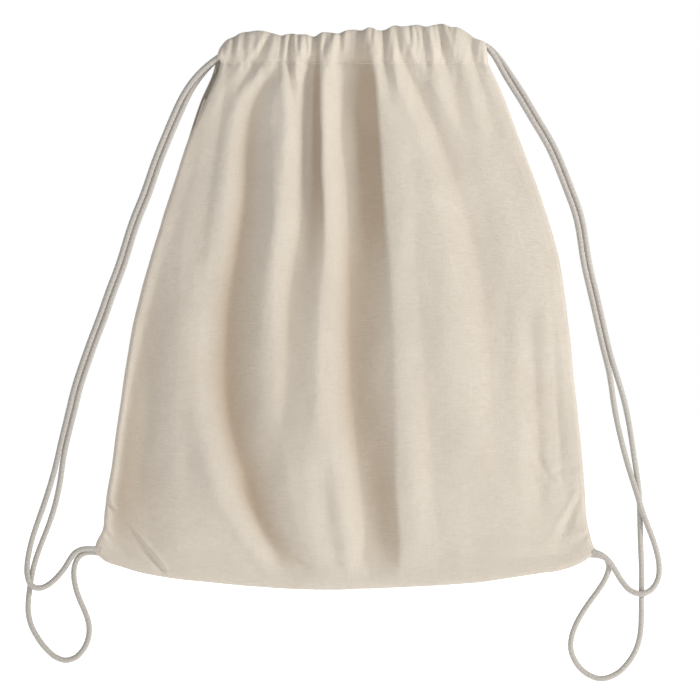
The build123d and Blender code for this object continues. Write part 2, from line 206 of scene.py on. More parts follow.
BACK_FOLDS = {
    "back_1": [(37.9, -86.3, 9.1, 9.1, 0.8), (128.7, -89.3, 10.6, 9.8, 2.4),
        (219.5, -86.3, 10.6, 9.1, 3.4), (310.4, -78.7, 9.1, 7.6, 4.0),
        (378.5, -69.6, 6.1, 5.3, 4.0), (420.9, -66.6, 4.5, 3.8, 2.6)],
    "back_2": [(83.3, -51.5, 9.1, 9.1, 0.4), (143.8, -53.0, 9.8, 9.1, 2.0),
        (227.1, -48.4, 9.1, 8.3, 3.6), (310.4, -40.9, 7.6, 6.8, 5.0),
        (378.5, -37.9, 5.3, 5.3, 5.6), (420.9, -37.9, 3.8, 3.8, 3.0)],
    "back_3": [(317.9, -15.1, 5.3, 5.3, 0.2), (348.2, -13.6, 5.3, 5.3, 1.6),
        (386.1, -12.1, 4.5, 3.8, 3.6), (420.9, -12.1, 3.8, 3.8, 2.6)],
    "back_4": [(22.7, 36.3, 8.3, 8.3, 1.0), (113.5, 31.8, 9.8, 9.1, 3.0),
        (204.4, 24.2, 9.8, 8.3, 4.4), (302.8, 16.7, 8.3, 6.8, 5.6), (378.5, 13.6, 6.1, 4.5, 6.4),
        (420.9, 12.1, 3.8, 3.8, 3.0)],
    "back_5": [(128.7, 74.2, 9.1, 9.1, 1.2), (227.1, 66.6, 9.1, 8.3, 2.0),
        (310.4, 56.0, 7.6, 6.8, 2.6), (378.5, 45.4, 5.3, 4.5, 3.6), (422.4, 40.9, 3.8, 3.8, 2.6)],
    "back_6": [(159.0, 128.7, 9.1, 9.1, 1.0), (257.4, 113.5, 9.1, 8.3, 1.6),
        (333.1, 90.8, 6.8, 6.1, 2.0), (386.1, 72.7, 4.5, 4.5, 2.8), (423.9, 66.6, 3.8, 3.8, 2.6)],
    "back_7": [(128.7, -131.7, 9.1, 9.1, 1.0), (234.7, -122.6, 9.1, 7.6, 1.6),
        (317.9, -109.0, 6.8, 6.1, 2.0), (378.5, -95.4, 4.5, 4.5, 2.6),
        (419.4, -89.3, 3.8, 3.8, 2.2)],
    "back_8": [(355.8, 104.5, 5.3, 4.5, 0.8), (386.1, 95.4, 4.5, 4.5, 2.2),
        (420.9, 89.3, 3.8, 3.8, 2.4)],
    "back_9": [(363.4, -56.0, 4.5, 4.5, 1.0), (393.6, -53.0, 3.8, 3.8, 2.6),
        (419.4, -51.5, 3.0, 3.0, 2.4)],
}
# folds with a sharp crest on the right, and (height, how sharp)
SHARP_FOLDS = {"fold_b", "fold_c"}
SHARPNESS = [(0, 0.8), (60, 0.8), (110, 0.45), (230, 0.4), (290, 0.9), (430, 1.0)]
# creases that run across the front: (x, height, width, depth)
CREASES = [
    # left corner crease
    [(-186.2, 69.6, 2.3, 0.6), (-183.0, 65.1, 2.3, 2.6), (-172.0, 50.0, 2.7, 4.6),
     (-160.2, 36.3, 3.2, 4.2), (-148.4, 22.7, 3.3, 3.0), (-140.0, 12.9, 3.3, 1.2),
     (-136.3, 9.1, 3.0, 0.0)],
    # left corner tuck
    [(-190.0, 45.4, 1.9, 0.5), (-187.0, 44.7, 2.3, 1.6), (-180.2, 37.9, 3.0, 1.3),
     (-168.8, 28.8, 3.0, 0.3)],
    # right corner crease
    [(151.4, 87.8, 3.8, 0.2), (160.5, 91.6, 3.0, 0.7), (172.6, 93.1, 2.3, 0.7),
     (177.1, 93.1, 2.3, 0.2)],
    # right corner tuck
    [(155.9, 31.8, 3.8, 0.3), (170.3, 35.6, 3.8, 0.8), (179.4, 41.6, 2.3, 0.9),
     (182.4, 44.7, 2.3, 0.3)],
    # low drag
    [(-128.7, 37.9, 5.3, 0.2), (-83.3, 25.7, 6.1, 1.0), (-37.9, 18.2, 6.1, 0.9),
     (7.6, 22.7, 6.1, 0.2)],
    # right drag
    [(68.1, 31.8, 5.3, 0.2), (113.5, 25.7, 5.3, 0.9), (152.9, 25.7, 4.5, 0.8),
     (174.1, 28.8, 3.8, 0.3)],
]

# ---------------------------------------------------------------- cord centre lines
# (x, height). Each pair of strands hangs together, then parts into a tail and a loop.
LEFT_PAIR = [(-105.2, 398.2), (-112.8, 391.4), (-119.6, 382.3), (-124.9, 373.2), (-129.4, 364.1),
    (-133.2, 355.0), (-137.4, 345.9), (-140.8, 336.9), (-144.6, 327.8), (-148.0, 318.7),
    (-151.0, 309.6), (-154.0, 300.5), (-157.8, 291.4), (-161.6, 282.4), (-164.6, 273.3),
    (-167.7, 264.2), (-170.3, 255.1), (-173.2, 246.0), (-176.5, 236.9), (-180.2, 227.9),
    (-183.3, 218.8), (-186.4, 209.7), (-189.8, 200.6), (-193.4, 191.5), (-196.7, 182.4),
    (-199.8, 173.4), (-203.0, 164.3), (-205.9, 155.2), (-208.4, 146.1), (-210.4, 137.0),
    (-212.7, 127.9), (-215.0, 118.8), (-217.1, 109.8), (-219.2, 100.7)]
LEFT_TAIL = [(-223.3, 91.6), (-226.1, 82.5), (-228.8, 73.4), (-231.8, 64.3), (-235.0, 55.3),
    (-238.3, 46.2), (-241.0, 37.1), (-243.1, 28.0), (-244.4, 18.9), (-244.1, 11.4), (-242.2, 5.3),
    (-238.5, 1.9), (-232.4, 1.9), (-227.1, 4.9), (-221.8, 9.8), (-217.6, 14.4), (-214.2, 19.3),
    (-211.2, 24.6), (-207.8, 28.4), (-203.6, 30.8), (-198.3, 31.3), (-191.5, 31.0)]
LEFT_LOOP = [(-218.0, 91.6), (-219.5, 82.5), (-221.2, 73.4), (-223.3, 64.3), (-226.0, 55.3),
    (-229.2, 46.2), (-232.9, 37.1), (-236.3, 28.0), (-239.2, 18.9), (-241.3, 9.8), (-242.5, 0.8),
    (-243.4, -8.3), (-243.5, -17.4), (-241.5, -26.5), (-236.6, -35.6), (-230.1, -44.3),
    (-223.3, -50.3), (-215.7, -53.4), (-207.8, -51.1), (-201.7, -44.7), (-198.0, -35.6),
    (-197.4, -26.5), (-200.2, -17.4), (-204.4, -8.3), (-207.4, 0.8), (-208.9, 9.8), (-208.6, 18.2),
    (-205.9, 24.2), (-201.4, 27.6), (-196.1, 28.5), (-190.8, 28.0)]
RIGHT_PAIR = [(103.0, 411.1), (108.3, 407.6), (113.5, 399.7), (118.1, 391.4), (124.5, 382.3),
    (130.2, 373.2), (135.5, 364.1), (140.8, 355.0), (146.5, 345.9), (151.6, 336.9), (155.9, 327.8),
    (159.7, 318.7), (163.3, 309.6), (166.7, 300.5), (170.3, 291.4), (173.1, 282.4), (175.0, 273.3),
    (176.4, 264.2), (177.7, 255.1), (179.3, 246.0), (181.3, 236.9), (183.5, 227.9), (185.6, 218.8),
    (187.7, 209.7), (189.7, 200.6), (191.8, 191.5), (193.9, 182.4), (196.1, 173.4)]
RIGHT_TAIL = [(196.4, 164.3), (197.6, 155.2), (198.9, 146.1), (200.4, 137.0), (202.1, 127.9),
    (204.1, 118.8), (206.3, 109.8), (208.6, 100.7), (211.2, 91.6), (214.1, 82.5), (217.0, 73.4),
    (219.7, 64.3), (222.6, 55.3), (226.3, 46.2), (229.7, 37.1), (232.3, 28.0), (233.8, 18.9),
    (233.5, 9.8), (229.5, 1.5), (220.7, -3.3), (212.3, -0.8), (205.5, 7.2), (200.2, 15.9),
    (195.3, 23.1), (189.6, 27.3), (183.2, 29.1)]
RIGHT_LOOP = [(201.4, 164.3), (204.2, 155.2), (206.7, 146.1), (209.1, 137.0), (210.8, 127.9),
    (212.3, 118.8), (213.8, 109.8), (215.1, 100.7), (216.5, 91.6), (217.9, 82.5), (218.9, 73.4),
    (219.4, 64.3), (219.6, 55.3), (219.8, 46.2), (219.9, 37.1), (220.3, 28.0), (220.7, 18.9),
    (220.9, 9.8), (220.8, 0.8), (220.7, -8.3), (220.6, -17.4), (220.3, -26.5), (219.2, -35.6),
    (216.5, -44.7), (211.2, -54.1), (201.4, -63.6), (190.0, -68.1), (178.7, -62.8), (170.3, -53.7),
    (167.3, -44.7), (167.9, -35.6), (170.9, -26.5), (175.8, -17.4), (181.9, -8.3), (188.5, 0.8),
    (194.2, 9.8), (196.1, 18.2), (193.8, 23.8), (189.2, 25.7), (182.4, 26.5)]

# ---------------------------------------------------------------- driving sizes
MM = 0.001           # metres in a millimetre
STITCH = 398.0       # height of the casing's stitch row
SIDE_FOOT = LEFT_EDGE[0][0]     # height where the side edges begin
CLOTH = 0.70         # thickness of the cotton as shown
CORD_RADIUS = 2.22
RUN_RADIUS = 1.65    # the cord is pressed thinner inside the tunnels
COLUMNS = 301        # grid of one panel, across
PANEL_ROWS = 300     # from the bottom edge up to the stitch row
HEM_ROWS = 54        # from the stitch row over the hem to its tucked edge
MIDDLE = COLUMNS // 2
# hem in section: outward from the panel's plane, and height above the stitch row. It goes up
# the outside, over the top fold and down the inside, where its raw edge is tucked under.
HEM = [(0.00, 0.0), (0.35, 1.2), (1.2, 3.2), (2.2, 5.8), (2.9, 8.8), (3.2, 12.0), (3.1, 15.2),
       (2.5, 18.2), (1.5, 20.4), (0.3, 21.6), (-0.8, 21.4), (-1.6, 20.0), (-2.0, 17.6),
       (-2.1, 14.6), (-2.1, 11.0), (-2.05, 7.4), (-1.8, 4.0), (-1.4, 0.6), (-1.3, -3.0),
       (-1.35, -6.5)]
HEM_TOP = max(height for _, height in HEM)


# ---------------------------------------------------------------- curves and fields
def curve(table, at, column=1):
    """Smooth value of one column of a table at the given places (cubic through the points)."""
    table = np.array(table, float)
    knots, values = table[:, 0], table[:, column]
    gaps = np.diff(knots)
    slopes = np.diff(values) / gaps
    tangents = np.empty_like(values)
    tangents[0], tangents[-1] = slopes[0], slopes[-1]
    tangents[1:-1] = (slopes[:-1] * gaps[1:] + slopes[1:] * gaps[:-1]) / (gaps[:-1] + gaps[1:])
    at = np.clip(np.asarray(at, float), knots[0], knots[-1])
    i = np.clip(np.searchsorted(knots, at) - 1, 0, len(gaps) - 1)
    part = (at - knots[i]) / gaps[i]
    return ((2 * part ** 3 - 3 * part ** 2 + 1) * values[i]
            + (part ** 3 - 2 * part ** 2 + part) * gaps[i] * tangents[i]
            + (-2 * part ** 3 + 3 * part ** 2) * values[i + 1]
            + (part ** 3 - part ** 2) * gaps[i] * tangents[i + 1])


def step(start, end, value):
    """Smooth rise from 0 at start to 1 at end."""
    part = np.clip((value - start) / (end - start), 0, 1)
    return part * part * (3 - 2 * part)


def lengths(points):
    """Distance along a line of points, at each point."""
    return np.r_[0, np.cumsum(np.linalg.norm(np.diff(points, axis=0), axis=1))]


def unit(vectors):
    return vectors / np.maximum(np.linalg.norm(vectors, axis=-1, keepdims=True), 1e-12)


def waves(x, z, length, count, seed, stretch=1.0):
    """A smooth seeded random field, about -1 to 1, with features about `length` mm long."""
    random = np.random.RandomState(seed)
    out = np.zeros_like(x)
    for _ in range(count):
        angle = random.uniform(0, math.pi)
        rate = 2 * math.pi / (length * random.uniform(0.7, 1.5))
        out += np.sin(rate * (np.cos(angle) * x + np.sin(angle) * z / stretch)
                      + random.uniform(0, 6.283))
    return out / math.sqrt(count)


def folds_at(x, z, folds):
    """Relief of the folds, where negative is a groove, and the depth that darkens the cloth as
    painted shade in the grooves.
    """
    relief = np.zeros_like(x)
    deep = np.zeros_like(x)
    for name, fold in folds.items():
        # a sharp crest on the right makes the wall beside it steepest near the crest, and moves the
        # painted shade onto that wall, darkest near the crest
        sharp = curve(SHARPNESS, z) if name in SHARP_FOLDS else 0.0
        within = np.clip(z, fold[0][0], fold[-1][0])
        centre, left_width, right_width, depth = (curve(fold, within, k) for k in (1, 2, 3, 4))
        depth = depth * np.exp(-np.maximum(fold[0][0] - z, 0) ** 2 / 900.0)  # fades out below
        offset = x - centre
        left = np.abs(np.minimum(offset, 0)) / left_width
        right = np.maximum(offset, 0) / right_width
        right = np.sqrt(right ** 2 + 0.010) - 0.10          # rounds the bottom of the groove
        climb = np.maximum(right, 0) ** (1.1 + 0.45 * sharp)
        wall = 0.5 * (1 - climb + np.sqrt((1 - climb) ** 2 + 0.006)) - 0.0015
        groove = np.where(offset < 0, np.exp(-left ** 1.6), np.clip(wall, 0, 1))
        ridge = (0.22 * np.exp(-((left - 2.0) / 0.8) ** 2) * (offset < 0)
                 + 0.10 * np.exp(-((right - 1.35) / 0.45) ** 2) * (offset > 0))
        relief += depth * (ridge - groove)
        # painted shade: the groove's bottom, or on sharp folds mostly the wall beside the crest
        on_wall = step(-0.1, 0.55, right) * (1 - step(0.86, 1.06, right)) * (offset > 0)
        tint = (1 - sharp) * groove + sharp * (0.42 * groove * (1 - on_wall) + on_wall)
        deep = np.maximum(deep, depth * tint)
    return relief, deep


def creases_at(x, z):
    """Relief of the creases: a groove with a low ridge above it."""
    relief = np.zeros_like(x)
    for crease in CREASES:
        first, last = crease[0][0], crease[-1][0]
        inside = step(first - 6, first + 2, x) * (1 - step(last - 2, last + 6, x))
        centre, width, depth = (curve(crease, x, k) for k in (1, 2, 3))
        off = (z - centre) / width
        relief += inside * depth * (0.55 * np.exp(-((off - 1.7) / 0.9) ** 2)
                                    - np.exp(-np.abs(off) ** 1.5))
    return relief


# ---------------------------------------------------------------- panel shape
def hem_profile(count):
    """The hem's section at evenly spaced places: outward, height, length along it."""
    section = np.array(HEM)
    along = lengths(section)
    at = np.linspace(0, along[-1], count)
    return curve(np.c_[along, section[:, 0]], at), curve(np.c_[along, section[:, 1]], at), at


def sheet(sign, folds, belly, lip, inset, seed):
    """One panel with its tunnel hem as a grid of points in mm. Row 0 is the bottom edge, the
    last row is the tucked edge of the hem. sign is -1 for the front and +1 for the back.
    belly and lip are the bulge low down and at the mouth; inset draws in the left edge there."""
    half = 1 - (1 - np.linspace(0, 1, MIDDLE + 1)) ** 1.15
    side = np.concatenate([-half[::-1][:-1], half])[None, :]   # -1 left edge, 1 right edge

    def spread(left, right):
        return np.where(side < 0, -side * left[:, None], side * right[:, None])

    # x and z of the panel, then of the hem above it
    up = np.linspace(0, 1, PANEL_ROWS) ** 0.96
    height = SIDE_FOOT + (STITCH - SIDE_FOOT) * up
    left = curve(LEFT_EDGE, height) + inset * step(335, 372, height)
    right = curve(RIGHT_EDGE, height)
    x = spread(left, right)
    bottom = curve(BOTTOM_LINE, x[0])[None, :]
    z = height[:, None] + (1 - up[:, None]) ** 2.2 * (bottom - SIDE_FOOT)
    hem_out, hem_height, hem_length = hem_profile(HEM_ROWS)
    raised = np.clip(hem_height / HEM_TOP, 0, 1)
    hem_x = spread(left[-1] + (4.0 * raised - inset * step(0.0, 0.60, raised)),
                   right[-1] - 1.5 * raised)
    above = curve(TOP_LINE, np.clip(hem_x, -98, 104)) - STITCH
    hem_z = STITCH + raised[:, None] * above + np.clip(hem_height, None, 0)[:, None]
    x, z = np.vstack([x, hem_x[1:]]), np.vstack([z, hem_z[1:]])
    out = np.concatenate([np.zeros(PANEL_ROWS), hem_out[1:]])[:, None]
    along = np.concatenate([height, STITCH + hem_length[1:]])[:, None]
    still = z * 0

    # the smooth bulge, flattened towards the seams
    part = (side + 1) / 2
    across = (4 * part * (1 - part)) ** np.where(part > 0.5, 0.90, 0.62)
    level = np.clip(z / STITCH, 0, 1)
    rise = np.sin(np.clip(level / 0.30, 0, 1) * math.pi / 2)
    bulge = rise * (belly + (lip * 0.78 - belly) * step(0.45, 1.0, level))
    from_side = np.where(side < 0, x - x[:, :1], x[:, -1:] - x)
    from_bottom = z - curve(BOTTOM_LINE, x)
    inside = np.clip(np.minimum(from_side, from_bottom), 0, None)
    shoulder = 0.42 + 1.1 * step(0.0, 2.2, inside) * (1 - 0.25 * step(7.0, 12.0, inside))
    shoulder = shoulder + step(340, 396, z) * lip * 0.45
    base = shoulder + bulge * across

    # relief, fading out towards the edges
    relief, deep = folds_at(x, z, folds)
    edge = (step(0.0, np.where(side < 0, 10.0, 16.0), from_side)
            * step(0.0, 24.0, from_bottom))
    edge = np.maximum(edge, step(380, 400, z) * step(0.0, 5.0, from_side))
    # upright gathers near the mouth, coarse to fine
    gather = (waves(x, z * 0.25, 15, 7, seed + 3) * 0.75
              + waves(x, z * 0.2, 7.5, 6, seed + 5) * 0.35)
    gather = gather * (step(352, 396, z) * 0.34 + step(394, 404, z) * 0.30)
    gather = gather + (waves(x, z * 0.2, 4.6, 8, seed + 41)
                       * (0.04 * step(372, 396, z) + 0.11 * step(396, 406, z)))
    # soft unevenness all over, coarse to fine, and a few crumpled lines
    soft = (waves(x, z, 95, 6, seed + 9, 1.6) * 1.1 + waves(x, z, 42, 8, seed + 13, 1.5) * 0.26
            + waves(x, z, 17, 10, seed + 17, 1.2) * 0.10 + waves(x, z, 8, 12, seed + 19) * 0.035)
    crumple = -np.abs(waves(x, z, 48, 7, seed + 23, 1.7)) ** 0.8 * 0.16
    depth = base + edge * (relief + gather + soft * 0.8 + crumple)
    if sign < 0:
        depth = depth + creases_at(x, z) * step(0.0, 5.0, inside)
    # the stitch row pulls the cloth in, with small puckers either side
    pucker = np.sin(x * 2 * math.pi / 6.3 + 0.9 * waves(x, still, 30, 5, seed + 29))
    depth = depth - np.exp(-((along - STITCH) / 2.0) ** 2) * (0.20 + 0.16 * pucker)
    # a soft floor, so the sheet never crosses the bag's middle plane
    floor = 0.42 + (0.5 + 1.9 * step(385, 400, z)) * step(0.0, 8.0, inside)
    spare = depth - floor
    blended = 0.55 * np.log1p(np.exp(np.clip(spare, -40, 8) / 0.55))
    depth = floor + np.where(spare > 4, spare, blended)
    y = sign * (depth + out * (1 + 0.12 * waves(x, still, 22, 6, seed + 31)))

    points = np.stack([x, y, z], axis=-1)
    half_width = 190.0          # width of half a panel in the UV map
    uv = np.stack([np.broadcast_to(side * half_width, x.shape),
                   np.broadcast_to(along, x.shape)], axis=-1) * MM
    # the normal points away from the bag's middle plane
    normals = unit(np.cross(np.gradient(points, axis=1), np.gradient(points, axis=0))) * -sign
    # shade: painted shade from the fold grooves' depth, fading out towards the edges
    return {"sign": sign, "points": points, "normals": normals, "uv": uv,
            "shade": np.clip(deep / 8.0, 0, 1) * edge}


# ---------------------------------------------------------------- meshes
def dress(mesh, uv, shade):
    """Smooth faces, the UV map and the shade attribute, both given per vertex."""
    mesh.polygons.foreach_set("use_smooth", np.ones(len(mesh.polygons), dtype=bool))
    corners = np.empty(len(mesh.loops), dtype=np.int32)
    mesh.loops.foreach_get("vertex_index", corners)
    layer = mesh.uv_layers.new(name="UVMap")
    layer.data.foreach_set("uv", np.asarray(uv)[corners].astype(np.float32).ravel())
    attribute = mesh.attributes.new("shade", "FLOAT", "POINT")
    attribute.data.foreach_set("value", np.ascontiguousarray(shade, dtype=np.float32))


def quad_mesh(name, verts, quads, uv, shade):
    mesh = bpy.data.meshes.new(name)
    quads = np.asarray(quads, dtype=np.int32)
    mesh.vertices.add(len(verts))
    mesh.vertices.foreach_set("co", np.ascontiguousarray(verts, dtype=np.float32).ravel())
    mesh.loops.add(quads.size)
    mesh.loops.foreach_set("vertex_index", quads.ravel())
    mesh.polygons.add(len(quads))
    mesh.polygons.foreach_set("loop_start", np.arange(0, quads.size, 4, dtype=np.int32))
    mesh.polygons.foreach_set("loop_total", np.full(len(quads), 4, dtype=np.int32))
    mesh.update(calc_edges=True)
    mesh.validate()
    dress(mesh, uv, shade)
    return mesh


def mixed_mesh(name, verts, faces, uv, shade):
    """A mesh from faces of any number of corners, all turned outward."""
    mesh = bpy.data.meshes.new(name)
    mesh.from_pydata([tuple(v) for v in verts], [], faces)
    mesh.update()
    dress(mesh, uv, shade)
    face_outward(mesh)
    return mesh


def face_outward(mesh):
    work = bmesh.new()
    work.from_mesh(mesh)
    bmesh.ops.recalc_face_normals(work, faces=work.faces)
    work.to_mesh(mesh)
    work.free()


def link(mesh):
    piece = bpy.data.objects.new(mesh.name, mesh)
    bpy.context.scene.collection.objects.link(piece)
    return piece


def place(mesh, material, slot):
    piece = link(mesh)
    piece.data.materials.append(material)
    return piece


def solid_quads(rows, columns, sign):
    """Quads of one face of a thin grid solid, and of the rim that joins it to the other face,
    whose points follow the first face's."""
    count = rows * columns
    i = np.arange(count).reshape(rows, columns)
    quads = np.stack([i[:-1, :-1], i[:-1, 1:], i[1:, 1:], i[1:, :-1]], axis=-1).reshape(-1, 4)
    ring = np.concatenate([i[0, :], i[1:, -1], i[-1, -2::-1], i[-2:0:-1, 0]])
    following = np.roll(ring, -1)
    rim = np.stack([following, ring, ring + count, following + count], axis=-1)
    if sign > 0:
        return quads[:, ::-1], rim[:, ::-1]
    return quads, rim


def thick_sheet(name, panel, columns):
    """A closed thin solid from some columns of a panel: outer face, inner face and a rim."""
    points, normals = panel["points"][:, columns], panel["normals"][:, columns]
    rows, count = points.shape[:2]
    quads, rim = solid_quads(rows, count, panel["sign"])
    back_quads = quads[:, ::-1]
    shift = normals * CLOTH / 2
    verts = np.concatenate([(points + shift).reshape(-1, 3), (points - shift).reshape(-1, 3)]) * MM
    first, second, third = (verts[rim[:, k]] for k in range(3))
    rim_normals = unit(np.cross(second - first, third - second))
    flat_normals = normals.reshape(-1, 3)
    corner_normals = np.concatenate([flat_normals[quads.ravel()],
                                     -flat_normals[back_quads.ravel()],
                                     np.repeat(rim_normals, 4, axis=0)])
    mesh = quad_mesh(name, verts, np.concatenate([quads, back_quads + rows * count, rim]),
                     np.concatenate([panel["uv"][:, columns].reshape(-1, 2)] * 2),
                     np.concatenate([panel["shade"][:, columns].ravel()] * 2))
    mesh.normals_split_custom_set([tuple(n) for n in corner_normals])
    return mesh


# ---------------------------------------------------------------- blend lines of the mouth
corner = {joint["child"]: joint.get("pos_m", [0, 0, 0])
          for joint in frame["record"]["behaviour"]["joints"]}
TOP_MIDDLE = Vector((0, 0, 0.420))
TURN_REACH = 0.081      # metres from the top middle to the end of the blend


def turn_line(side, outward):
    """Start and end of a side's blend, square to the line from its corner to the top middle."""
    along = (TOP_MIDDLE - Vector(corner[side])).normalized()
    normal = Vector((outward * along.z, 0, -outward * along.x))
    if normal.x * outward < 0:
        normal = -normal
    return tuple(TOP_MIDDLE), tuple(TOP_MIDDLE + normal * TURN_REACH)


TURN = {"left": turn_line("left_side", -1), "right": turn_line("right_side", 1)}


def turn(piece, side):
    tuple(TURN[side][0])
    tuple(TURN[side][1])
    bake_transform(piece)


# ---------------------------------------------------------------- materials
class Shader:
    """A new material with a principled surface, and short ways to add nodes to it."""

    def __init__(self, name, **settings):
        self.material = bpy.data.materials.new(name)
        self.material.use_nodes = True
        self.tree = self.material.node_tree
        self.tree.nodes.clear()
        output = self.node("OutputMaterial")
        self.surface = self.node("BsdfPrincipled")
        self.feed(output.inputs[0], self.surface.outputs[0])
        for key, value in settings.items():
            self.surface.inputs[SURFACE_INPUTS[key]].default_value = value

    def node(self, kind, **props):
        node = self.tree.nodes.new("ShaderNode" + kind)
        for key, value in props.items():
            setattr(node, key, value)
        return node

    def feed(self, socket, value):
        """Link an output to the socket, or set the socket's value."""
        if isinstance(value, bpy.types.NodeSocket):
            self.tree.links.new(value, socket)
        else:
            socket.default_value = value

    def calc(self, operation, *values, clamp=False):
        node = self.node("Math", operation=operation, use_clamp=clamp)
        for i, value in enumerate(values):
            self.feed(node.inputs[i], value)
        return node.outputs[0]

    def uv(self):
        """The UV map, and its two coordinates."""
        place = self.node("UVMap", uv_map="UVMap").outputs[0]
        split = self.node("SeparateXYZ")
        self.feed(split.inputs[0], place)
        return place, split.outputs[0], split.outputs[1]

    def noise(self, place, scale, detail=2):
        node = self.node("TexNoise")
        node.inputs["Scale"].default_value = scale
        node.inputs["Detail"].default_value = detail
        self.feed(node.inputs["Vector"], place)
        return node.outputs[0]

    def shade(self):
        return self.node("Attribute", attribute_name="shade").outputs["Fac"]

    def colour(self, base, layers):
        """The base colour with layers over it: (mask, strength, colour)."""
        result = (*base, 1.0)
        for mask, strength, tint in layers:
            node = self.node("Mix", data_type="RGBA")
            self.feed(node.inputs[0], self.calc("MULTIPLY", mask, strength))
            self.feed(node.inputs[6], result)
            self.feed(node.inputs[7], (*tint, 1.0))
            result = node.outputs[2]
        self.feed(self.surface.inputs["Base Color"], result)

    def bump(self, strength, terms):
        """Bump from a sum of (pattern, height in metres)."""
        scaled = [self.calc("MULTIPLY", *term) for term in terms]
        height = scaled.pop()
        while scaled:
            height = self.calc("ADD", scaled.pop(), height)
        node = self.node("Bump")
        node.inputs["Strength"].default_value = strength
        node.inputs["Distance"].default_value = 1.0
        self.feed(node.inputs["Height"], height)
        self.feed(self.surface.inputs["Normal"], node.outputs[0])


SURFACE_INPUTS = {"base": "Base Color", "roughness": "Roughness", "specular": "Specular IOR Level",
                  "sheen": "Sheen Weight", "sheen_roughness": "Sheen Roughness",
                  "glow": "Emission Color", "glow_strength": "Emission Strength"}


def cloth_material():
    """Unbleached plain-weave cotton: warp and weft threads, slubs, flecks, uneven tone, and painted
    shade that browns the cloth in the fold grooves.
    """
    # deep is the brown of the gaps in the weave and of the painted shade in the fold grooves
    light, dark, deep = (0.640, 0.590, 0.515), (0.565, 0.510, 0.435), (0.34, 0.235, 0.145)
    slub_colour, fleck_colour = (0.78, 0.73, 0.65), (0.30, 0.20, 0.12)
    pitch = 0.00052             # spacing that sets the weave, in metres
    shader = Shader("cotton", specular=0.22, sheen=0.25, sheen_roughness=0.5)
    calc = shader.calc
    place, across, along = shader.uv()

    # threads wander a little, so the weave is not a perfect grid
    wander = shader.noise(place, scale=160)
    shift = calc("MULTIPLY", calc("SUBTRACT", wander, 0.5), 0.0009)

    def thread(coordinate):
        moved = calc("ADD", coordinate, shift)
        return calc("SINE", calc("MULTIPLY", moved, 2 * math.pi / pitch / 2))

    across_wave, along_wave = thread(across), thread(along)
    checker = calc("MULTIPLY", across_wave, along_wave)         # which thread is on top
    over = calc("MULTIPLY_ADD", checker, 0.5, 0.5, clamp=True)
    weave = calc("ADD", calc("MULTIPLY", calc("ABSOLUTE", across_wave), over),
                 calc("MULTIPLY", calc("ABSOLUTE", along_wave), calc("SUBTRACT", 1.0, over)))

    def streak(scale_x, scale_y, low, high, seed):
        """Noise stretched by its two scales, with low to high spread over 0 to 1."""
        mapping = shader.node("Mapping")
        mapping.inputs["Scale"].default_value = (scale_x, scale_y, 1)
        mapping.inputs["Location"].default_value = (seed, seed * 0.37, 0)
        shader.feed(mapping.inputs["Vector"], place)
        noise = shader.noise(mapping.outputs[0], scale=1.0, detail=3)
        spread = shader.node("MapRange", interpolation_type="SMOOTHSTEP")
        spread.inputs[1].default_value = low
        spread.inputs[2].default_value = high
        shader.feed(spread.inputs[0], noise)
        return spread.outputs[0]

    weft = streak(90, 1500, low=0.42, high=0.72, seed=3.1)
    warp = streak(1500, 70, low=0.45, high=0.75, seed=7.7)
    slub = streak(70, 1000, low=0.66, high=0.80, seed=12.3)     # thick places along the weft
    cloud = streak(22, 22, low=0.25, high=0.75, seed=21.0)
    mottle = streak(260, 260, low=0.3, high=0.7, seed=33.0)

    # seed flecks: small dots in a fifth of the cells
    cells = shader.node("TexVoronoi", feature="F1")
    cells.inputs["Scale"].default_value = 210
    shader.feed(cells.inputs["Vector"], place)
    dot = calc("LESS_THAN", cells.outputs["Distance"], 0.075)
    chance = shader.node("SeparateColor")
    shader.feed(chance.inputs[0], cells.outputs["Color"])
    fleck = calc("MULTIPLY", dot, calc("GREATER_THAN", chance.outputs[0], 0.80))

    shader.colour(light, [
        (cloud, 0.55, dark),
        (weft, 0.60, dark),
        (warp, 0.46, dark),
        (mottle, 0.30, dark),
        (slub, 0.35, slub_colour),
        (calc("SUBTRACT", 1.0, weave), 0.30, deep),
        (fleck, 0.40, fleck_colour),
        # painted shade: browns the cloth down in the fold grooves
        (calc("POWER", shader.shade(), 1.6), 0.64, deep)])
    shader.feed(shader.surface.inputs["Roughness"], calc("MULTIPLY_ADD", mottle, 0.08, 0.86))
    shader.bump(0.9, [(weave, 0.00010), (weft, 0.00010), (slub, 0.00016), (warp, 0.00008)])
    return shader.material


def cord_material(name, light, dark):
    """Cotton yarn: fine slanting threads, painted shade in the grooves between the strands, uneven
    tone.
    """
    shader = Shader(name, roughness=0.9, specular=0.2, sheen=0.3)
    calc = shader.calc
    place, around, along = shader.uv()
    slant = calc("MULTIPLY", around, 2 * math.pi * 60)
    turns = calc("MULTIPLY", along, 2 * math.pi / 0.0007)
    yarn = calc("ABSOLUTE", calc("SINE", calc("ADD", slant, turns)))
    fuzz = shader.noise(place, scale=240, detail=4)
    tone = shader.noise(place, scale=30)
    # the shade layer is painted shade in the grooves between the braid's strands
    shader.colour(light, [(fuzz, 0.5, dark), (tone, 0.4, dark), (shader.shade(), 0.55, dark),
                          (yarn, 0.12, dark)])
    shader.bump(0.8, [(yarn, 0.00006), (fuzz, 0.00012)])
    return shader.material


cotton = cloth_material()
rope_mat = cord_material("cord_cotton", light=(0.565, 0.532, 0.489), dark=(0.355, 0.330, 0.299))
thread_mat = cord_material("thread_cotton", light=(0.76, 0.70, 0.61), dark=(0.55, 0.48, 0.40))

